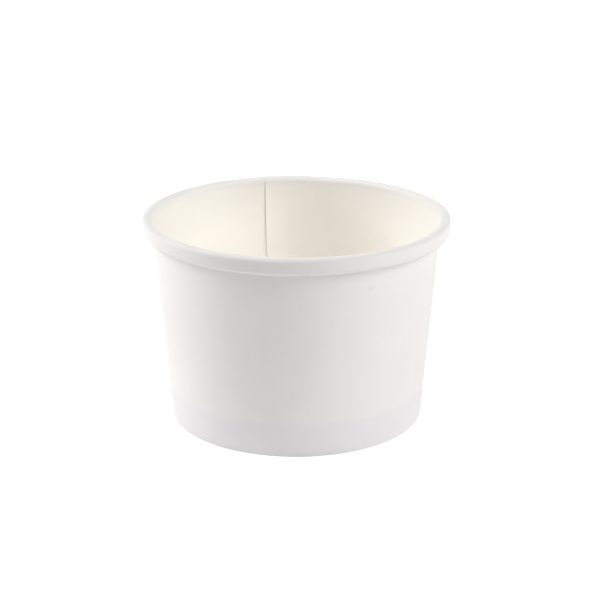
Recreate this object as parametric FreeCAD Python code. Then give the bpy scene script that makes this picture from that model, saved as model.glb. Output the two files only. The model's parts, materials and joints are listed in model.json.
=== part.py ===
import FreeCAD
import Part

import math
import os

# Paper sundae cup: an open tub of coated white board with a rolled rim, in two glued sheets.
# The side wall is a fan-shaped blank wrapped into a cone, with a lapped side seam. Its top edge is
# rolled outwards into the rim and its foot is folded inwards and up into a hem.
# The base disc has a turned-down skirt, which the wall and the hem hold between them.
# Millimetres, +Z up. The origin is the middle of the foot, on the table, with the seam at the back left.

# Overall sizes, outside
cup_height = 60.6
rim_diameter = 90.0
base_diameter = 74.6

# Board and glue
wall_board = 0.4
base_board = 0.4
glue_gap = 0.05

# Rolled rim: its height, how far it stands out past the neck of the wall, its bends on the outer face,
# and the play that the roll keeps inside
rim_height = 5.0
rim_overhang = 3.2
rim_mouth_bend = 1.5
rim_shoulder_bend = 1.2
rim_lower_bend = 1.7
roll_tuck_bend = 0.4
roll_gap = 0.1
roll_end_gap = 1.4

# Foot: the fold's outer bend, and the height of the hem's raw edge above the table
foot_bend = 0.4
hem_height = 6.0

# Base disc: the floor's height above the table, its edge bend, and the skirt's play above the fold
floor_height = 10.0
floor_bend = 0.4
skirt_play = 0.3

# Lapped side seam: where its inner raw edge stands, and how far the lap runs clockwise from there round
# the neck. Each flap thins out to a fine edge under the other. The roller presses the lap down on the rim,
# and the fold at the foot.
seam_azimuth = 104.0
lap_width = 7.0
lap_rim_step = 0.12
lap_fine_edge = 0.03
lap_fade = 1.5
lap_floor_gap = 0.3
lap_spans = 3

# How far the flats of a bend may lie from the true round
bend_accuracy = 0.08

ORIGIN = FreeCAD.Vector(0, 0, 0)
AXIS = FreeCAD.Vector(0, 0, 1)

# Worked out from the sizes above
neck_diameter = rim_diameter - 2 * rim_overhang
wall_lean = math.atan2((neck_diameter - base_diameter) / 2, cup_height - rim_height)
skirt_inset = wall_board + glue_gap + base_board / 2
hem_inset = wall_board + glue_gap + base_board + glue_gap + wall_board / 2
lap_angle = math.degrees(lap_width / (neck_diameter / 2))


def on_wall(height, inset):
    """A point at a height, on the line that lies inset from the wall's outer face, towards the axis."""
    radius = base_diameter / 2 + height * math.tan(wall_lean) - inset / math.cos(wall_lean)
    return FreeCAD.Vector(radius, 0, height)


def left_of(direction):
    """The unit vector to the left of a direction of travel in the section's plane."""
    return FreeCAD.Vector(-direction.z, 0, direction.x)


def bend_points(before, corner, after, bend, shift, board):
    """The points round a bend, on the line that lies shift to the left of the sheet's middle.

    bend is the radius of the bend's outer face, which the board limits to a fold flat on itself.
    """
    arriving = (corner - before).normalize()
    leaving = (after - corner).normalize()
    turn = 1 if left_of(arriving).dot(leaving) > 0 else -1
    angle = arriving.getAngle(leaving)
    middle_radius = max(bend - board / 2, board / 2)
    centre = corner - arriving * middle_radius * math.tan(angle / 2) + left_of(arriving) * middle_radius * turn
    steps = math.ceil(angle / (2 * math.acos(1 - bend_accuracy / (middle_radius + board / 2))))
    outwards = left_of(arriving) * -turn
    turning = FreeCAD.Rotation(FreeCAD.Vector(0, -turn, 0), math.degrees(angle / steps))
    points = []
    for _ in range(steps + 1):
        points.append(centre + outwards * (middle_radius - shift * turn))
        outwards = turning.multVec(outwards)
    return points


def sheet_face(corners, bends, board, laps, side):
    """The points along one face of a bent sheet: side is 1 on the left of its path and -1 on the right.

    bends holds each inner corner's bend, or 0 where the path runs straight on. laps holds what the seam
    adds to the board on this face, at the start and at the end of each straight run.
    """
    points = []
    for number, (lap_starts, lap_ends) in enumerate(laps):
        start, end = corners[number : number + 2]
        across = left_of((end - start).normalize()) * side
        if number == 0 or not bends[number - 1]:
            points.append(start + across * (board / 2 + lap_starts))
        if number == len(bends) or not bends[number]:
            points.append(end + across * (board / 2 + lap_ends))
        else:
            shift = (board / 2 + lap_ends) * side
            points += bend_points(start, end, corners[number + 2], bends[number], shift, board)
    return points


def closed_section(left_face, right_face, lapped=False):
    """The closed wire round a sheet's section: up its left face and back down its right one.

    A section without a lap leaves out the points that only mark a place along a straight line.
    """
    points = []
    for point in left_face + right_face[::-1]:
        if not points or point.distanceToPoint(points[-1]) > lap_fine_edge / 10:
            points.append(point)
    if not lapped:
        neighbours = zip(points[-1:] + points, points, points[1:] + points[:1])
        points = [point for before, point, after in neighbours if (point - before).getAngle(after - point) > 0.001]
    return Part.makePolygon(points + points[:1])


def wall_section(lap_inside=0.0, lap_rim=0.0, lap_outside=0.0):
    """The side wall's section, from the hem's raw edge round the foot, up the wall and round the roll.

    The laps are what the seam adds to the board's inner face, to that face on the rim, and to its outer face.
    """
    half = wall_board / 2
    rim_middle = rim_diameter / 2 - half
    rim_top = cup_height - half
    rim_bottom = cup_height - rim_height + half
    tuck_inset = -(roll_gap + half)
    corners = [
        on_wall(hem_height, hem_inset),
        on_wall(lap_fade, hem_inset),
        on_wall(half, hem_inset),
        on_wall(half, half),
        on_wall(lap_fade, half),
        on_wall(floor_height + lap_floor_gap, half),
        on_wall(cup_height - rim_height - lap_fade, half),
        on_wall(cup_height - rim_height, half),
        on_wall(rim_top, half),
        FreeCAD.Vector(rim_middle, 0, rim_top),
        FreeCAD.Vector(rim_middle, 0, rim_bottom),
        on_wall(rim_bottom, tuck_inset),
        on_wall(rim_top - half - roll_end_gap, tuck_inset),
    ]
    bends = [0, foot_bend, foot_bend, 0, 0, 0, 0, rim_mouth_bend, rim_shoulder_bend, rim_lower_bend, roll_tuck_bend]
    plain = (0.0, 0.0)
    outside = (lap_outside, lap_outside)
    fading = (lap_outside, 0.0)
    rim = (lap_rim, lap_rim)
    inner_laps = [plain] * 5 + [(lap_inside, lap_rim)] + [rim] * 4 + [(lap_rim, 0.0), plain]
    outer_laps = [outside, fading, plain, fading[::-1], outside, outside, fading] + [plain] * 5
    inner_face = sheet_face(corners, bends, wall_board, inner_laps, 1)
    outer_face = sheet_face(corners, bends, wall_board, outer_laps, -1)
    return closed_section(inner_face, outer_face, lap_outside > 0)


def seam_lap():
    """The lapped stretch of the wall: one flap thins out as the other builds up to its raw edge."""
    sections = []
    for span in range(lap_spans + 1):
        inner_share = 1 - span / lap_spans
        inside = lap_fine_edge + (wall_board - lap_fine_edge) * inner_share
        rim = lap_fine_edge + (lap_rim_step - lap_fine_edge) * inner_share
        outside = lap_fine_edge + (wall_board - lap_fine_edge) * (1 - inner_share)
        section = wall_section(inside, rim, outside)
        section.rotate(ORIGIN, AXIS, seam_azimuth - lap_angle * (1 - inner_share))
        sections.append(section)
    return Part.makeLoft(sections, True, True)


def side_wall():
    """The side wall: the plain board turned about the axis, joined through the lapped seam."""
    plain = Part.Face(wall_section()).revolve(ORIGIN, AXIS, 360 - lap_angle)
    plain.rotate(ORIGIN, AXIS, seam_azimuth)
    return plain.fuse(seam_lap())


def base_disc():
    """The base disc: a flat floor whose edge turns down into a skirt along the wall."""
    floor_middle = floor_height - base_board / 2
    corners = [
        FreeCAD.Vector(0, 0, floor_middle),
        on_wall(floor_middle, skirt_inset),
        on_wall(wall_board + skirt_play, skirt_inset),
    ]
    no_laps = [(0.0, 0.0)] * 2
    upper, lower = (sheet_face(corners, [floor_bend], base_board, no_laps, side) for side in (1, -1))
    return Part.Face(closed_section(upper, lower)).revolve(ORIGIN, AXIS, 360)


def as_solid(shape):
    """The single solid in a shape, checked to be sound."""
    solid = shape.Solids[0]
    if len(shape.Solids) != 1 or not solid.isValid():
        raise ValueError("the shape is not one sound solid")
    return solid


os.makedirs("parts", exist_ok=True)
for name, shape in (("side_wall", side_wall()), ("base_disc", base_disc())):
    as_solid(shape).exportStep(f"parts/{name}.step")
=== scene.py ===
"""Looks of the paper sundae cup: two glued sheets of coated board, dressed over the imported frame.

The side wall is one strip of board, wrapped round into a cone until its ends lap, hemmed at the foot
and rolled at the rim. The base disc is a round of board with a turned-down skirt. Both are in metres.
"""

import json
import logging
import math
from collections.abc import Callable, Sequence
from dataclasses import dataclass, field
from enum import Enum, IntEnum

import bmesh
import bpy
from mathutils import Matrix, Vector


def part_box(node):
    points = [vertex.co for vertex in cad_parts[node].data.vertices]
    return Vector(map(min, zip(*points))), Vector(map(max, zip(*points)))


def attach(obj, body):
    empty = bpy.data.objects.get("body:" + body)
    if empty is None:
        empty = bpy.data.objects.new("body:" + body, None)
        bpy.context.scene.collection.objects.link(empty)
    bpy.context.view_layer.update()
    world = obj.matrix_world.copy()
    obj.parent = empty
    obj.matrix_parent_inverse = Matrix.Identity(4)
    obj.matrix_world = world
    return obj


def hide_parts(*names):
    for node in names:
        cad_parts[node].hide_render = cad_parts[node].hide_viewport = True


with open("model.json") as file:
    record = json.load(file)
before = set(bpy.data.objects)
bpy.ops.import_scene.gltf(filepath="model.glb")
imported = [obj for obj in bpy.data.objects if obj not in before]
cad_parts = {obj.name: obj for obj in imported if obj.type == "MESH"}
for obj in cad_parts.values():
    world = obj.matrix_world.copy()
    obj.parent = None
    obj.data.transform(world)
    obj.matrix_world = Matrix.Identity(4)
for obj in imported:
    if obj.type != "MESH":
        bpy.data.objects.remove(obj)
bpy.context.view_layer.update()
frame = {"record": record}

MM = 0.001
BODY = "root"

# How near two points count as one place, how near they are welded, and the sharpest edge that is smooth
CLOSE = 0.02 * MM
WELD = 0.004 * MM
SHARP = math.radians(50)

# The roll's height, how far it stands out past the neck, and how far the foot's ring lies inside the wall
RIM_HEIGHT = 5.0 * MM
RIM_OVERHANG = 3.2 * MM
FOOT_MIDDLE_INSET = 0.6 * MM

Triple = tuple[float, float, float]
Colour = Triple
Place = Triple
log = logging.getLogger("paper_cup")


class Face(IntEnum):
    """The material slots of a sheet of board."""

    INNER_COAT = 0
    OUTER_COAT = 1
    RAW_EDGE = 2


class Mix(IntEnum):
    """The sockets of a Mix node that mixes colours."""

    SHARE = 0
    FIRST = 6
    SECOND = 7
    RESULT = 2


class Flap(Enum):
    """The two ends of the wall's strip, which lap at the side seam."""

    OUTER = "outer"
    INNER = "inner"


# Shader expressions


class Value:
    """A number from a shader socket that can be used in Python arithmetic."""

    def __init__(self, tree: "Shader", socket: bpy.types.NodeSocket) -> None:
        """Wrap a socket.

        Args:
            tree: The material's node tree that the socket belongs to.
            socket: The output socket that gives the number.
        """
        self.tree = tree
        self.socket = socket

    def _math(self, operation: str, *operands: "Value | float") -> "Value":
        """Add a Math node and return its result."""
        return self.tree.node("Math", {"operation": operation}, dict(enumerate(operands)))

    def __add__(self, other: "Value | float") -> "Value":
        """Sum with another value."""
        return self._math("ADD", self, other)

    def __radd__(self, other: float) -> "Value":
        """Sum with a number on the left."""
        return self._math("ADD", other, self)

    def __sub__(self, other: "Value | float") -> "Value":
        """Difference from another value."""
        return self._math("SUBTRACT", self, other)

    def __rsub__(self, other: float) -> "Value":
        """Difference of a number on the left and this value."""
        return self._math("SUBTRACT", other, self)

    def __mul__(self, other: "Value | float") -> "Value":
        """Product with another value."""
        return self._math("MULTIPLY", self, other)

    def __rmul__(self, other: float) -> "Value":
        """Product with a number on the left."""
        return self._math("MULTIPLY", other, self)

    def __truediv__(self, other: "Value | float") -> "Value":
        """Quotient by another value."""
        return self._math("DIVIDE", self, other)

    def __pow__(self, other: "Value | float") -> "Value":
        """This value raised to a power."""
        return self._math("POWER", self, other)

    def maximum(self, other: "Value | float") -> "Value":
        """The larger of this value and another one."""
        return self._math("MAXIMUM", self, other)

    def rises(self, low: float, high: float) -> "Value":
        """Go smoothly from 0 at one bound to 1 at the other.

        Args:
            low: The value at which the result is 0.
            high: The value at which the result is 1.

        Returns:
            The smoothed share.
        """
        inputs = {"Value": self, "From Min": low, "From Max": high}
        return self.tree.node("MapRange", {"interpolation_type": "SMOOTHSTEP"}, inputs)


class Shader:
    """A material or world whose nodes are written as expressions."""

    def __init__(self, owner: bpy.types.Material | bpy.types.World) -> None:
        """Start with no nodes.

        Args:
            owner: The new material or world.
        """
        self.owner = owner
        owner.use_nodes = True
        self.nodes = owner.node_tree.nodes
        self.links = owner.node_tree.links
        self.nodes.clear()

    def node(self, kind: str, settings: dict[str, object] | None = None,
             inputs: dict[str | int, object] | None = None, output: str | int = 0) -> Value:
        """Add one node.

        Args:
            kind: The node's type, without its ShaderNode prefix.
            settings: The node's own settings, which are made first.
            inputs: Values or links by socket name or number.
            output: The name or number of the socket that is returned.

        Returns:
            The chosen output.
        """
        made = self.nodes.new("ShaderNode" + kind)
        for name, value in (settings or {}).items():
            setattr(made, name, value)
        for name, value in (inputs or {}).items():
            if isinstance(value, Value):
                self.links.new(value.socket, made.inputs[name])
            else:
                made.inputs[name].default_value = value
        return Value(self, made.outputs[output])

    def place(self) -> Value:
        """The point on the surface, in the object's own coordinates."""
        return self.node("TexCoord", output="Object")

    def axes(self) -> tuple[Value, ...]:
        """The point's three coordinates, in metres."""
        place = self.place()
        return tuple(self.node("SeparateXYZ", {}, {"Vector": place}, axis) for axis in "XYZ")

    def radius(self) -> Value:
        """The point's distance from the cup's axis."""
        x, y, _ = self.axes()
        return (x * x + y * y) ** 0.5

    def distance_from(self, point: Place) -> Value:
        """The distance between the surface and a fixed point, in metres."""
        inputs = {0: self.place(), 1: point}
        return self.node("VectorMath", {"operation": "DISTANCE"}, inputs, "Value")

    def noise(self, grain: float, detail: float = 2.0, stretch: Triple = (1.0, 1.0, 1.0)) -> Value:
        """Smooth noise between 0 and 1.

        Args:
            grain: The size of one blotch, in metres.
            detail: The number of finer layers.
            stretch: The scale of the pattern along each axis; under 1 draws it out.

        Returns:
            The noise.
        """
        where = self.node("Mapping", {}, {"Vector": self.place(), "Scale": stretch})
        inputs = {"Vector": where, "Scale": 1.0 / grain, "Detail": detail}
        return self.node("TexNoise", {}, inputs, "Fac")

    def mix(self, share: Value, first: "Value | Colour", second: "Value | Colour") -> Value:
        """Mix two colours.

        Args:
            share: The share of the second colour.
            first: The colour at 0.
            second: The colour at 1.

        Returns:
            The mixed colour.
        """
        ends = [colour if isinstance(colour, Value) else (*colour, 1.0) for colour in (first, second)]
        inputs = {Mix.SHARE: share, Mix.FIRST: ends[0], Mix.SECOND: ends[1]}
        return self.node("Mix", {"data_type": "RGBA"}, inputs, Mix.RESULT)

    def bump(self, height: Value, depth: float, strength: float) -> Value:
        """Turn a height into a disturbed normal.

        Args:
            height: The height, from 0 to 1.
            depth: What a height of 1 stands for, in metres.
            strength: How much of the bump shows.

        Returns:
            The normal.
        """
        inputs = {"Height": height, "Distance": depth, "Strength": strength}
        return self.node("Bump", {}, inputs)

    def surface(self, colour: Value, roughness: "Value | float", normal: Value,
                gloss: float = 0.5) -> bpy.types.Material:
        """Finish the material with a Principled shader.

        Args:
            colour: Its base colour.
            roughness: Its roughness.
            normal: Its disturbed normal.
            gloss: How strongly it mirrors.

        Returns:
            The material.
        """
        inputs = {
            "Base Color": colour,
            "Roughness": roughness,
            "Specular IOR Level": gloss,
            "Normal": normal,
        }
        self.finish(self.node("BsdfPrincipled", {}, inputs))
        return self.owner

    def seen(self) -> Value:
        """1 for the eye and for what is seen in gloss or through glass, 0 for light on the cup."""
        camera, glossy, clear = (self.node("LightPath", output=f"Is {kind} Ray")
                                 for kind in ("Camera", "Glossy", "Transmission"))
        return camera.maximum(glossy).maximum(clear)

    def finish(self, shader: Value) -> None:
        """Link a shader to the output.

        Args:
            shader: The finished surface or surround.
        """
        kind = "World" if isinstance(self.owner, bpy.types.World) else "Material"
        output = self.nodes.new(f"ShaderNodeOutput{kind}")
        self.links.new(shader.socket, output.inputs["Surface"])


# Finishes


@dataclass(frozen=True)
class Board:
    """What all faces of the board have in common."""

    sheen_gloss: float = 0.12
    fibre: float = 0.35 * MM
    cloud: float = 9.0 * MM
    ripple: float = 3.5 * MM
    fibre_detail: float = 3.0
    cloud_detail: float = 4.0
    ripple_detail: float = 2.0
    streak_detail: float = 1.0
    contrast: tuple[float, float] = (0.35, 0.65)
    streak_contrast: tuple[float, float] = (0.3, 0.7)
    relief: float = 0.05 * MM
    relief_strength: float = 0.5
    tooth_share: float = 0.12
    rough_range: float = 0.08

    def rough(self, shader: Shader, middle: float) -> Value:
        """A roughness that varies softly over the board.

        Args:
            shader: The material that is written.
            middle: The roughness that it varies about.

        Returns:
            The roughness.
        """
        return shader.noise(self.cloud) * self.rough_range + (middle - self.rough_range / 2)

    def normal(self, shader: Shader, drawn: Triple) -> Value:
        """The board's fine tooth over its faint ripples.

        Args:
            shader: The material that is written.
            drawn: The scale of the ripples along each axis.

        Returns:
            The disturbed normal.
        """
        tooth = shader.noise(self.fibre, self.fibre_detail) * self.tooth_share
        ripples = shader.noise(self.ripple, self.ripple_detail, drawn) * (1.0 - self.tooth_share)
        return shader.bump(tooth + ripples, self.relief, self.relief_strength)

    def mottle(self, shader: Shader, cloud_share: float, drawn: Triple) -> Value:
        """The uneven tone of a coat, made of soft clouds and drawn-out streaks, where the streaks are
        partly painted shade of the board's small flats.

        Args:
            shader: The material that is written.
            cloud_share: How much of it the clouds make up; the streaks make up the rest.
            drawn: The scale of the streaks along each axis.

        Returns:
            The share of the coat's second tone.
        """
        clouds = shader.noise(self.cloud, self.cloud_detail).rises(*self.contrast)
        # Streaks: partly the board's uneven tone, partly painted shade of the small flats that forming
        # leaves on it
        streaks = shader.noise(self.ripple, self.streak_detail, drawn).rises(*self.streak_contrast)
        return clouds * cloud_share + streaks * (1.0 - cloud_share)

    def coat(self, shader: Shader, colour: Value, roughness: float, drawn: Triple) -> bpy.types.Material:
        """Finish the material of a coat on the board.

        Args:
            shader: The material that is written.
            colour: Its base colour.
            roughness: The roughness that it varies about.
            drawn: The scale of its ripples along each axis.

        Returns:
            The material.
        """
        rough = self.rough(shader, roughness)
        return shader.surface(colour, rough, self.normal(shader, drawn), self.sheen_gloss)


@dataclass(frozen=True)
class OuterCoat:
    """The white satin coat on the outside, darker and cooler near the foot as painted shade, where the
    skirt doubles the wall and less light shines through it from inside, with a faint speck.
    """

    name: str = "white_satin_coat"
    white: Colour = (0.939, 0.918, 0.876)
    cloudy: Colour = (0.925, 0.904, 0.864)
    cloud_share: float = 0.5
    roughness: float = 0.5
    streak: Triple = (1.0, 1.0, 0.07)
    # Painted shade near the foot: less light shines through the wall from inside where the skirt doubles
    # it
    foot_painted_shade: Colour = (0.850, 0.845, 0.880)
    foot_painted_shade_share: float = 0.4
    foot_painted_shade_height: float = 10.0 * MM
    foot_painted_shade_fade: float = 2.4 * MM
    speck: Colour = (0.850, 0.822, 0.780)
    speck_place: Place = (20.2 * MM, -36.0 * MM, 49.4 * MM)
    speck_core: float = 0.2 * MM
    speck_edge: float = 0.9 * MM

    def material(self, board: Board) -> bpy.types.Material:
        """Make the material.

        Args:
            board: The board under the coat.

        Returns:
            The material.
        """
        shader = Shader(bpy.data.materials.new(self.name))
        height = shader.axes()[2]
        mottle = board.mottle(shader, self.cloud_share, self.streak)
        coat = shader.mix(mottle, self.white, self.cloudy)
        # Painted shade: a darker, cooler tone below the floor's height, where less light shines through
        # the doubled wall
        fade = self.foot_painted_shade_fade / 2
        low = 1.0 - height.rises(self.foot_painted_shade_height - fade, self.foot_painted_shade_height + fade)
        coat_with_painted_foot_shade = shader.mix(low * self.foot_painted_shade_share, coat, self.foot_painted_shade)
        clear = shader.distance_from(self.speck_place).rises(self.speck_core, self.speck_edge)
        colour = shader.mix(clear, self.speck, coat_with_painted_foot_shade)
        return board.coat(shader, colour, self.roughness, self.streak)


@dataclass(frozen=True)
class InnerCoat:
    """The cream-toned, slightly glossier coat on the inside, which turns whiter over the rim."""

    name: str
    mouth_radius: float
    mouth_height: float
    cream: Colour = (0.952, 0.932, 0.874)
    cloudy: Colour = (0.942, 0.919, 0.856)
    cloud_share: float = 0.6
    roughness: float = 0.42
    band: Triple = (0.25, 0.25, 1.0)
    rim_white: Colour = (0.914, 0.902, 0.860)
    turn: float = 1.2 * MM
    turn_depth: float = 2.9 * MM

    def material(self, board: Board) -> bpy.types.Material:
        """Make the material.

        Args:
            board: The board under the coat.

        Returns:
            The material.
        """
        shader = Shader(bpy.data.materials.new(self.name))
        mottle = board.mottle(shader, self.cloud_share, self.band)
        cream = shader.mix(mottle, self.cream, self.cloudy)
        over = shader.radius().rises(self.mouth_radius, self.mouth_radius + self.turn)
        lowest = self.mouth_height - self.turn_depth
        near = shader.axes()[2].rises(lowest, lowest + self.turn)
        colour = shader.mix(over.maximum(near), cream, self.rim_white)
        return board.coat(shader, colour, self.roughness, self.band)


@dataclass(frozen=True)
class CutEdge:
    """The raw cut edge of the board, where its tan fibres show."""

    name: str = "cut_board_edge"
    fibre_tan: Colour = (0.920, 0.840, 0.690)
    fibre_cream: Colour = (0.950, 0.890, 0.770)
    roughness: float = 0.85
    tooth: float = 0.06 * MM
    tooth_strength: float = 0.8

    def material(self, board: Board) -> bpy.types.Material:
        """Make the material.

        Args:
            board: The board that is cut.

        Returns:
            The material.
        """
        shader = Shader(bpy.data.materials.new(self.name))
        fibres = shader.noise(board.fibre, board.fibre_detail)
        colour = shader.mix(fibres.rises(*board.contrast), self.fibre_tan, self.fibre_cream)
        return shader.surface(colour, self.roughness, shader.bump(fibres, self.tooth, self.tooth_strength))


# Modelling by hand


class Sheet:
    """A piece of board that is drawn in edit mode and finished with modifiers."""

    def __init__(self, name: str) -> None:
        """Take the primitive that was just added as the start of a piece.

        Args:
            name: The piece's name.
        """
        self.piece = bpy.context.object
        self.piece.name = name
        self.piece.data.name = name
        bpy.ops.object.transform_apply(location=True, rotation=True, scale=True)
        self.open()

    def open(self) -> None:
        """Enter edit mode with everything selected."""
        bpy.ops.object.mode_set(mode="EDIT")
        bpy.ops.mesh.select_all(action="SELECT")

    def close(self) -> None:
        """Leave edit mode."""
        bpy.ops.object.mode_set(mode="OBJECT")

    def pick(self, test: Callable[[Vector], bool]) -> None:
        """Select the points that pass a test, with the edges and faces between them, and nothing else.

        Args:
            test: Tells of a point whether it is wanted.
        """
        bpy.ops.mesh.select_mode(type="VERT")
        bpy.ops.mesh.select_all(action="DESELECT")
        mesh = bmesh.from_edit_mesh(self.piece.data)
        for point in mesh.verts:
            point.select_set(test(point.co))
        mesh.select_flush(True)
        bmesh.update_edit_mesh(self.piece.data)

    def draw_to(self, points: Sequence[Vector]) -> None:
        """Extrude the selected point along a line.

        Args:
            points: The line's points; the first is where the selected point lies.
        """
        for start, end in zip(points, points[1:]):
            bpy.ops.mesh.extrude_vertices_move(TRANSFORM_OT_translate={"value": end - start})

    def divide(self, start: Vector, end: Vector, cuts: int) -> None:
        """Cut the straight edge between two drawn points into equal rows."""
        self.pick(lambda point: min((point - start).length, (point - end).length) < CLOSE)
        bpy.ops.mesh.subdivide(number_cuts=cuts)

    def round_off(self, corner: Vector, setback: float, segments: int) -> None:
        """Round a drawn corner.

        Args:
            corner: The corner's point.
            setback: How far from the corner the bend starts, along each run.
            segments: The number of flats round the bend.
        """
        self.pick(lambda point: (point - corner).length < CLOSE)
        bpy.ops.mesh.bevel(offset=setback, offset_type="OFFSET", segments=segments, affect="VERTICES",
                           clamp_overlap=False)

    def turn_faces(self, towards: Callable[[Vector], Vector]) -> None:
        """Turn all faces the same way round.

        Args:
            towards: Gives the direction in which the coated upper side looks, from a place on the sheet.
        """
        bpy.ops.mesh.select_all(action="SELECT")
        bpy.ops.mesh.normals_make_consistent(inside=False)
        widest = max(bmesh.from_edit_mesh(self.piece.data).faces, key=lambda face: face.calc_area())
        if widest.normal.dot(towards(widest.calc_center_median())) < 0:
            bpy.ops.mesh.flip_normals()

    def weigh(self, group: str, weight_of: Callable[[bpy.types.MeshVertex], float]) -> str:
        """Give every point a weight in a vertex group.

        Args:
            group: The group's name.
            weight_of: Gives a point's weight, from 0 to 1.

        Returns:
            The group's name.
        """
        made = self.piece.vertex_groups.new(name=group)
        for vertex in self.piece.data.vertices:
            made.add([vertex.index], weight_of(vertex), "REPLACE")
        return group

    def modify(self, kind: str, **settings: object) -> None:
        """Add a modifier and apply it.

        Args:
            kind: The modifier's type.
            **settings: Its settings.
        """
        made = self.piece.modifiers.new(kind.lower(), kind)
        for name, value in settings.items():
            setattr(made, name, value)
        bpy.ops.object.modifier_apply(modifier=made.name)

    def push(self, depth: float, group: str) -> None:
        """Move the weighed points along their normals.

        Args:
            depth: How far a weight of 1 moves; under 0 is against the normal.
            group: The vertex group.
        """
        self.modify("DISPLACE", strength=depth, mid_level=0.0, direction="NORMAL", vertex_group=group)

    def unsettle(self, texture: bpy.types.Texture, depth: float, group: str, direction: str) -> None:
        """Make the weighed points uneven by a cloud texture.

        Args:
            texture: The clouds.
            depth: The full range of the movement.
            group: The vertex group.
            direction: The axis of the movement, or RGB_TO_XYZ for all three.
        """
        self.modify("DISPLACE", texture=texture, strength=depth, mid_level=0.5, direction=direction,
                    texture_coords="LOCAL", vertex_group=group)

    def thicken(self, thickness: float, finishes: Sequence[bpy.types.Material], group: str = "") -> None:
        """Give the sheet its thickness, half to each side, with a finish for each side and the raw edges.

        Args:
            thickness: The board's thickness.
            finishes: One material for each member of Face.
            group: The vertex group that thins the board, if there is one.
        """
        for finish in finishes:
            self.piece.data.materials.append(finish)
        self.modify("SOLIDIFY", thickness=thickness, offset=0.0, use_rim=True, vertex_group=group,
                    material_offset=Face.OUTER_COAT, material_offset_rim=Face.RAW_EDGE)

    def dress(self, slot: str, node: str) -> bpy.types.Object:
        """Weld and shade the piece, and tie it to the frame.

        Args:
            slot: The record's material slot; not used.
            node: The solid that the piece stands for.

        Returns:
            The finished object.
        """
        self.open()
        bpy.ops.mesh.remove_doubles(threshold=WELD)
        self.close()
        bpy.ops.object.shade_smooth_by_angle(angle=SHARP)
        self.piece.vertex_groups.clear()
        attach(self.piece, BODY)
        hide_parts(node)
        return self.piece


def cloud_texture(name: str, grain: float, colour: bool) -> bpy.types.Texture:
    """A cloud texture that makes a surface uneven.

    Args:
        name: The texture's name.
        grain: The size of one bump, in metres.
        colour: Whether it has three channels, for a movement in all directions.

    Returns:
        The texture.
    """
    made = bpy.data.textures.new(name, "CLOUDS")
    made.noise_scale = grain
    made.noise_depth = 1
    made.cloud_type = "COLOR" if colour else "GRAYSCALE"
    return made


def smooth(share: float) -> float:
    """A share from 0 to 1, eased at both ends."""
    share = min(max(share, 0.0), 1.0)
    return share * share * (3 - 2 * share)


def ramp(value: float, stops: Sequence[tuple[float, float]]) -> float:
    """Follow straight lines between stops.

    Args:
        value: Where to read.
        stops: Pairs of a place and the value there, in order.

    Returns:
        The value at that place.
    """
    for (low, first), (high, second) in zip(stops, stops[1:]):
        if value <= high:
            return first + (second - first) * min(max((value - low) / (high - low), 0.0), 1.0)
    return stops[-1][1]


@dataclass
class Handling:
    """How the board gives way in the making: long waves in both sheets and small dents in the roll.

    The two rooms are what the waves need beside the rim and over it, to stay inside the solid's box.
    """

    wave: float = 0.30 * MM
    wave_grain: float = 26.0 * MM
    side_room: float = 0.10 * MM
    top_room: float = 0.06 * MM
    dent: float = 0.16 * MM
    dent_grain: float = 6.0 * MM
    still_below: float = 1.0 * MM
    free_above: float = 9.0 * MM
    waves: bpy.types.Texture = field(init=False)
    dents: bpy.types.Texture = field(init=False)

    def __post_init__(self) -> None:
        """Make the two textures."""
        self.waves = cloud_texture("board_waves", self.wave_grain, True)
        self.dents = cloud_texture("roll_dents", self.dent_grain, False)

    def share(self, height: float) -> float:
        """How freely the board moves at a height: not at all on the table."""
        return smooth((height - self.still_below) / (self.free_above - self.still_below))


# The cup's two sheets


@dataclass
class Cone:
    """The slanted line of the wall's outer face, which both sheets follow."""

    foot_radius: float
    neck_radius: float
    neck_height: float

    @property
    def lean(self) -> float:
        """The wall's angle from upright."""
        return math.atan2(self.neck_radius - self.foot_radius, self.neck_height)

    def at(self, height: float, inset: float) -> Vector:
        """A point at a height, inset from the outer face towards the axis."""
        outer_face = self.foot_radius + height * math.tan(self.lean)
        return Vector((outer_face - inset / math.cos(self.lean), 0, height))

    def inset_of(self, point: Vector) -> float:
        """How far inside the outer face a point lies."""
        return (self.at(point.z, 0.0).x - point.xy.length) * math.cos(self.lean)


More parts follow.
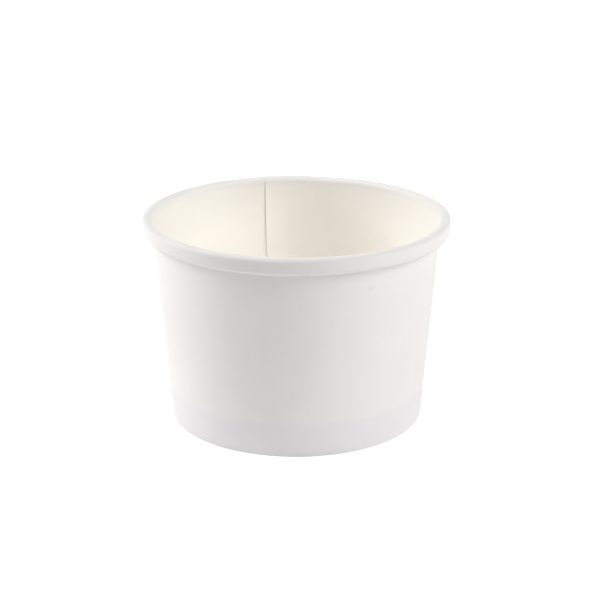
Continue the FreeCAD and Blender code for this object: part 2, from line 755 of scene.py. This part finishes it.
@dataclass
class SideWall:
    """The wrapped strip: hem, foot fold, wall, mouth and roll, with its two flaps glued at the seam."""

    cone: Cone
    height: float
    rim_radius: float
    floor_height: float
    board: float = 0.4 * MM
    glue: float = 0.05 * MM
    hem_height: float = 6.0 * MM
    foot_bend: float = 0.4 * MM
    mouth_bend: float = 1.5 * MM
    shoulder_bend: float = 1.2 * MM
    lower_bend: float = 1.7 * MM
    tuck_bend: float = 0.4 * MM
    roll_gap: float = 0.1 * MM
    roll_end_gap: float = 1.4 * MM
    seam_azimuth: float = 104.0
    lap_width: float = 7.0 * MM
    lap_columns: int = 12
    lap_rim_step: float = 0.12 * MM
    lap_fine_edge: float = 0.03 * MM
    lap_fade: float = 1.5 * MM
    lap_floor_gap: float = 0.3 * MM
    knurl_depth: float = 0.11 * MM
    knurl_columns: int = 4
    knurl_heights: tuple[float, ...] = (1.5 * MM, 2.25 * MM, 4.5 * MM, 5.4 * MM)
    wall_rows: int = 16
    name: str = "wrapped_wall"
    half: float = field(init=False)
    hem_inset: float = field(init=False)
    tuck_inset: float = field(init=False)
    neck_height: float = field(init=False)
    lap_angle: float = field(init=False)
    step_angle: float = field(init=False)
    columns: int = field(init=False)

    def __post_init__(self) -> None:
        """Work out the places that follow from the sizes."""
        self.half = self.board / 2
        self.hem_inset = 2 * self.board + 2 * self.glue + self.half
        self.tuck_inset = -(self.roll_gap + self.half)
        self.neck_height = self.cone.neck_height
        self.lap_angle = math.degrees(self.lap_width / self.cone.neck_radius)
        self.step_angle = self.lap_angle / self.lap_columns
        self.columns = round((360.0 + self.lap_angle) / self.step_angle)

    def corners(self) -> dict[str, Vector]:
        """Work out the corner points of the strip's middle line.

        Returns:
            The points by name, from the hem's raw edge to the roll's end.
        """
        at, half = self.cone.at, self.half
        rim_middle = self.rim_radius - half
        rim_bottom = self.neck_height + half
        return {
            "hem_edge": at(self.hem_height, self.hem_inset),
            "hem_low": at(self.lap_fade, self.hem_inset),
            "fold_inside": at(half, self.hem_inset),
            "fold_outside": at(half, half),
            "foot": at(self.lap_fade, half),
            "under_floor": at(self.floor_height, half),
            "over_floor": at(self.floor_height + self.lap_floor_gap, half),
            "under_neck": at(self.neck_height - self.lap_fade, half),
            "neck": at(self.neck_height, half),
            "mouth": at(self.height - half, half),
            "shoulder": Vector((rim_middle, 0, self.height - half)),
            "lower": Vector((rim_middle, 0, rim_bottom)),
            "tuck": at(rim_bottom, self.tuck_inset),
            "roll_end": at(self.height - self.board - self.roll_end_gap, self.tuck_inset),
        }

    def draw(self) -> Sheet:
        """Draw the strip's middle line with its bends, at azimuth 0.

        Returns:
            The drawn sheet, still a line.
        """
        corner = self.corners()
        line = list(corner.values())
        bpy.ops.mesh.primitive_plane_add(size=MM, location=line[0] + Vector((MM / 2, MM / 2, 0)))
        sheet = Sheet(self.name)
        sheet.pick(lambda point: (point - line[0]).length > CLOSE)
        bpy.ops.mesh.delete(type="VERT")
        sheet.pick(lambda point: True)
        sheet.draw_to(line)
        rows = (
            ("hem_edge", "hem_low", 3),
            ("foot", "under_floor", 3),
            ("over_floor", "under_neck", self.wall_rows),
            ("under_neck", "neck", 1),
            ("shoulder", "lower", 2),
            ("tuck", "roll_end", 1),
        )
        for start, end, cuts in rows:
            sheet.divide(corner[start], corner[end], cuts)
        bends = (
            ("fold_inside", self.foot_bend, 5),
            ("fold_outside", self.foot_bend, 5),
            ("mouth", self.mouth_bend, 8),
            ("shoulder", self.shoulder_bend, 8),
            ("lower", self.lower_bend, 9),
            ("tuck", self.tuck_bend, 4),
        )
        names = list(corner)
        for name, bend, segments in bends:
            number = names.index(name)
            arriving = corner[name] - line[number - 1]
            leaving = line[number + 1] - corner[name]
            setback = max(bend - self.half, self.half) * math.tan(arriving.angle(leaving) / 2)
            sheet.round_off(corner[name], setback, segments)
        sheet.close()
        return sheet

    def wrap(self, sheet: Sheet) -> int:
        """Spin the line round the axis, once round and on over the lap.

        Args:
            sheet: The drawn sheet.

        Returns:
            The number of points in a column.
        """
        points = len(sheet.piece.data.vertices)
        turn = math.radians(self.columns * self.step_angle)
        sheet.open()
        bpy.ops.mesh.spin(steps=self.columns, angle=-turn, center=(0, 0, 0), axis=(0, 0, 1))
        sheet.turn_faces(lambda place: Vector((-place.x, -place.y, 0)))
        sheet.close()
        sheet.piece.rotation_euler.z = math.radians(self.seam_azimuth - self.lap_angle)
        bpy.ops.object.transform_apply(location=False, rotation=True, scale=False)
        return points

    def inner_step(self, point: Vector) -> float:
        """How far the seam's inner flap stands proud on the inner face.

        Args:
            point: A place on the strip's middle line, anywhere round the cup.

        Returns:
            The height of the step at the flap's raw edge.
        """
        inset = self.cone.inset_of(point)
        if inset > self.board or point.z < self.floor_height + self.lap_floor_gap - CLOSE:
            return 0.0
        if inset < 0 and self.is_tucked(point):
            return 0.0
        return ramp(point.z, ((self.neck_height - self.lap_fade, self.board),
                              (self.neck_height + self.lap_fade, self.lap_rim_step)))

    def outer_step(self, point: Vector) -> float:
        """How far the seam's outer flap stands proud on the outer face.

        Args:
            point: A place on the strip's middle line, anywhere round the cup.

        Returns:
            The height of the step at the flap's raw edge.
        """
        over_foot = ((self.board, 0.0), (self.lap_fade, self.board))
        if self.cone.inset_of(point) > self.board:
            return ramp(point.z, over_foot)
        under_neck = ((self.neck_height - self.lap_fade, self.board), (self.neck_height, 0.0))
        return ramp(point.z, over_foot + under_neck)

    def is_tucked(self, point: Vector) -> bool:
        """Tell whether a point lies on the roll's inner turn, beside the wall."""
        inset = self.cone.inset_of(point)
        return -self.board - self.roll_gap < inset < 0 and point.z < self.height - self.mouth_bend

    def is_rolled(self, point: Vector) -> bool:
        """Tell whether a point lies on the roll, clear of the wall."""
        return point.z > self.neck_height and self.cone.inset_of(point) < -self.board

    def glue_seam(self, sheet: Sheet, points: int) -> None:
        """Lay the two ends over each other, and thin them where the roller and the foot press them.

        Args:
            sheet: The wrapped sheet.
            points: The number of points in a column.
        """
        shifts: dict[Flap, dict[int, float]] = {Flap.OUTER: {}, Flap.INNER: {}}
        thickness: dict[int, float] = {}
        for vertex in sheet.piece.data.vertices:
            column = vertex.index // points
            from_start, from_end = column / self.lap_columns, (self.columns - column) / self.lap_columns
            if min(from_start, from_end) >= 1:
                continue
            # out runs from 0 where the flap leaves the wall to 1 at its raw edge
            flap, out = (Flap.OUTER, 1 - from_start) if from_start < 1 else (Flap.INNER, 1 - from_end)
            step = self.outer_step(vertex.co) if flap is Flap.OUTER else self.inner_step(vertex.co)
            board = max(self.board - (self.board - step) * out, self.lap_fine_edge)
            thickness[vertex.index] = board
            shifts[flap][vertex.index] = self.half + step * out - board / 2
        for flap, direction in ((Flap.OUTER, -1), (Flap.INNER, 1)):
            shift = shifts[flap]
            group = sheet.weigh(f"{flap.value}_flap", lambda v: shift.get(v.index, 0.0) / self.board)
            sheet.push(direction * self.board, group)
        sheet.weigh("thickness", lambda v: thickness.get(v.index, self.board) / self.board)

    def press_hem(self, sheet: Sheet) -> None:
        """Press the row of small marks that a knurled wheel leaves inside the foot.

        Args:
            sheet: The thickened sheet.
        """
        pitch = self.step_angle * self.knurl_columns
        pressure = tuple(zip(self.knurl_heights, (0.0, 1.0, 1.0, 0.0)))

        def mark(vertex: bpy.types.MeshVertex) -> float:
            """How deep a point on the hem's open face is pressed.

            Args:
                vertex: The point.

            Returns:
                The share of the full depth.
            """
            if self.cone.inset_of(vertex.co) < self.hem_inset + self.half / 2:
                return 0.0
            up = smooth(ramp(vertex.co.z, pressure))
            azimuth = math.degrees(math.atan2(vertex.co.y, vertex.co.x)) - self.seam_azimuth
            return up * abs(azimuth / pitch % 1.0 - 0.5) * 2

        sheet.push(-self.knurl_depth, sheet.weigh("knurl", mark))

    def build(self, handling: Handling, finishes: Sequence[bpy.types.Material]) -> bpy.types.Object:
        """Make the wall.

        Args:
            handling: How the board gives way.
            finishes: One material for each member of Face.

        Returns:
            The finished piece.
        """
        sheet = self.draw()
        points = self.wrap(sheet)
        self.glue_seam(sheet, points)
        sheet.thicken(self.board, finishes, "thickness")
        self.press_hem(sheet)
        roll = sheet.weigh("roll", lambda v: float(self.is_rolled(v.co)))
        sheet.unsettle(handling.dents, handling.dent, roll, "NORMAL")
        free = sheet.weigh("free", lambda v: handling.share(v.co.z))
        sheet.unsettle(handling.waves, handling.wave, free, "RGB_TO_XYZ")
        return sheet.dress("wall_board", "side_wall")


@dataclass
class BaseDisc:
    """The round floor, whose edge turns down into a skirt between the wall and the hem."""

    cone: Cone
    floor_height: float
    board: float = 0.4 * MM
    wall_board: float = 0.4 * MM
    glue: float = 0.05 * MM
    bend: float = 0.4 * MM
    skirt_play: float = 0.3 * MM
    skirt_rows: int = 7
    bend_segments: int = 5
    segments: int = 360
    rings: tuple[float, ...] = (1.2 * MM, 4.0 * MM, 7.0 * MM, 8.0 * MM, 8.0 * MM, 5.0 * MM)
    name: str = "pressed_base"

    def build(self, handling: Handling, finishes: Sequence[bpy.types.Material]) -> bpy.types.Object:
        """Make the disc.

        Args:
            handling: How the board gives way.
            finishes: One material for each member of Face.

        Returns:
            The finished piece.
        """
        half = self.board / 2
        inset = self.wall_board + self.glue + half
        edge = self.cone.at(self.floor_height - half, inset)
        row_height = (edge.z - self.wall_board - self.skirt_play) / self.skirt_rows
        bpy.ops.mesh.primitive_circle_add(vertices=self.segments, radius=edge.x, fill_type="NGON",
                                          location=(0, 0, edge.z))
        sheet = Sheet(self.name)
        for ring in self.rings:
            bpy.ops.mesh.inset(thickness=ring)
        bpy.ops.mesh.poke()
        sheet.pick(lambda point: point.xy.length > edge.x - CLOSE)
        row = edge
        for _ in range(self.skirt_rows):
            lower = self.cone.at(row.z - row_height, inset)
            narrower = lower.x / row.x
            bpy.ops.mesh.extrude_edges_move(TRANSFORM_OT_translate={"value": (0, 0, -row_height)})
            bpy.ops.transform.resize(value=(narrower, narrower, 1), center_override=(0, 0, lower.z))
            row = lower
        sheet.pick(lambda point: point.xy.length > edge.x - CLOSE and point.z > edge.z - CLOSE)
        bpy.ops.mesh.bevel(offset=max(self.bend - half, half), offset_type="OFFSET",
                           segments=self.bend_segments, affect="EDGES", clamp_overlap=False)
        sheet.turn_faces(lambda place: Vector((0, 0, 1)))
        sheet.close()
        sheet.thicken(self.board, finishes)
        free = sheet.weigh("free", lambda v: handling.share(v.co.z))
        sheet.unsettle(handling.waves, handling.wave, free, "RGB_TO_XYZ")
        return sheet.dress("floor_board", "base_disc")


# Studio


def hang_light(name: str, kind: str, place: Place, target: Place) -> bpy.types.Object:
    """Hang a new light in the set.

    Args:
        name: Its name.
        kind: Blender's type of light.
        place: Where it hangs.
        target: The point that it faces.

    Returns:
        The light's object.
    """
    made = bpy.data.objects.new(name, bpy.data.lights.new(name, kind))
    bpy.context.scene.collection.objects.link(made)
    made.location = place
    made.rotation_euler = (Vector(target) - Vector(place)).to_track_quat("-Z", "Y").to_euler()
    return made


@dataclass(frozen=True)
class Lamp:
    """A soft box."""

    name: str
    place: Place
    size: tuple[float, float]
    power: float
    colour: Colour = (1.0, 1.005, 1.035)

    def hang(self, target: Place) -> None:
        """Put the lamp in its place.

        Args:
            target: The point that it faces.
        """
        light = hang_light(self.name, "AREA", self.place, target).data
        light.shape = "RECTANGLE"
        light.size, light.size_y = self.size
        light.energy = self.power
        light.color = self.colour


@dataclass(frozen=True)
class Snoot:
    """A small lamp whose beam only reaches the inside of the cup."""

    name: str
    place: Place
    target: Place
    reach: float
    width: float
    power: float
    colour: Colour = (1.0, 0.955, 0.87)
    softness: float = 0.02
    fade: float = 0.8

    def hang(self) -> None:
        """Put the lamp in its place, with its beam as high and as wide as asked where it lands."""
        beam = Vector(self.target) - Vector(self.place)
        lamp = hang_light(self.name, "SPOT", self.place, self.target)
        lamp.scale.x = self.width / self.reach
        light = lamp.data
        light.energy = self.power
        light.color = self.colour
        light.shadow_soft_size = self.softness
        light.spot_size = 2 * math.atan(self.reach / beam.length)
        light.spot_blend = self.fade


@dataclass(frozen=True)
class Studio:
    """The table, the lamps and the camera."""

    eye: Place = (1.0152 * MM, -475.992 * MM, 195.766 * MM)
    pitch: float = 18.764
    focal_pixels: float = 1700.0
    image_pixels: float = 600.0
    sensor: float = 36.0
    clip: tuple[float, float] = (0.01, 100.0)
    table_size: float = 1.7
    table_white: float = 0.86
    table_roughness: float = 0.6
    table_gloss: float = 0.2
    table_glow: float = 0.06
    table_white_out: float = 0.56
    ambient: Colour = (1.0, 0.955, 1.0)
    ambient_strength: float = 0.197
    aim: Place = (0.0, 0.0, 40.0 * MM)
    lamps: tuple[Lamp, ...] = (
        Lamp("left_soft_box", (-0.962, 0.130, 0.647), (0.7, 0.7), 9.6),
        Lamp("right_soft_box", (0.900, -0.364, 0.647), (0.7, 0.7), 7.9),
    )
    snoots: tuple[Snoot, ...] = (
        Snoot("floor_lamp", (0.0, 0.001, 1.06), (0.0, 0.0, 0.04), 0.040, 0.040, 10.5, fade=0.35),
        Snoot("back_wall_lamp", (0.0, -0.75, 0.85), (0.0, 0.036, 0.030), 0.022, 0.045, 12.5),
    )

    def set_camera(self) -> None:
        """Put the camera where the photograph was taken from."""
        data = bpy.data.cameras.new("camera")
        data.sensor_width = self.sensor
        data.lens = self.sensor * self.focal_pixels / self.image_pixels
        data.clip_start, data.clip_end = self.clip
        camera = bpy.data.objects.new("camera", data)
        bpy.context.scene.collection.objects.link(camera)
        camera.location = self.eye
        camera.rotation_euler = (math.radians(90.0 - self.pitch), 0.0, 0.0)
        bpy.context.scene.camera = camera

    def lay_table(self) -> None:
        """Lay the white table, which keeps the cup's shadow and can't be seen from below."""
        bpy.ops.object.select_all(action="DESELECT")
        bpy.ops.mesh.primitive_plane_add(size=self.table_size)
        table = bpy.context.object
        table.name = "table"
        shader = Shader(bpy.data.materials.new("white_table"))
        glow = shader.mix(shader.seen(), (self.table_glow,) * 3, (self.table_white_out,) * 3)
        inputs = {
            "Base Color": (*(self.table_white,) * 3, 1.0),
            "Roughness": self.table_roughness,
            "Specular IOR Level": self.table_gloss,
            "Emission Color": glow,
            "Emission Strength": 1.0,
        }
        white = shader.node("BsdfPrincipled", {}, inputs)
        below = shader.node("NewGeometry", output="Backfacing")
        clear = shader.node("BsdfTransparent")
        shader.finish(shader.node("MixShader", {}, {0: below, 1: white, 2: clear}))
        table.data.materials.append(shader.owner)

    def light(self) -> None:
        """Light the set evenly, with a white surround that only the eye and reflections see."""
        world = bpy.data.worlds.new("surround")
        bpy.context.scene.world = world
        shader = Shader(world)
        dim = {"Color": (*self.ambient, 1.0), "Strength": self.ambient_strength}
        room = shader.node("Background", {}, dim)
        white = shader.node("Background", {}, {"Color": (1.0, 1.0, 1.0, 1.0), "Strength": 1.0})
        shader.finish(shader.node("MixShader", {}, {0: shader.seen(), 1: room, 2: white}))
        for lamp in self.lamps:
            lamp.hang(self.aim)
        for snoot in self.snoots:
            snoot.hang()

    def set_up(self) -> None:
        """Make the whole set."""
        self.set_camera()
        self.lay_table()
        self.light()
        bpy.context.scene.view_settings.view_transform = "Standard"


def main() -> None:
    """Build the cup from the frame and set it on the table."""
    Studio().set_up()
    mounts = {mount["name"]: mount for mount in frame["record"]["mounts"]}
    low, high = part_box("side_wall")
    handling = Handling()
    rim_radius = min(-low.x, high.x, -low.y, high.y) - handling.side_room
    top = high.z - SideWall.lap_rim_step - handling.top_room
    neck_radius = mounts["lid_rim"]["dims"]["r_mm"] * MM - RIM_OVERHANG
    cone = Cone(mounts["foot"]["pos_m"][0] + FOOT_MIDDLE_INSET, neck_radius, top - RIM_HEIGHT)
    floor_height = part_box("base_disc")[1].z
    board = Board()
    outer, edge = OuterCoat().material(board), CutEdge().material(board)
    wall_inside = InnerCoat("cream_coat", neck_radius - SideWall.board, top).material(board)
    floor_inside = InnerCoat("cream_floor_coat", neck_radius, top).material(board)
    wall = SideWall(cone, top, rim_radius, floor_height)
    base = BaseDisc(cone, floor_height)
    for sheet, inside in ((wall, wall_inside), (base, floor_inside)):
        piece = sheet.build(handling, (inside, outer, edge))
        log.info("%s: %d faces", piece.name, len(piece.data.polygons))


if __name__ == "__main__":
    logging.basicConfig(level=logging.INFO, format="%(name)s: %(message)s")
    main()
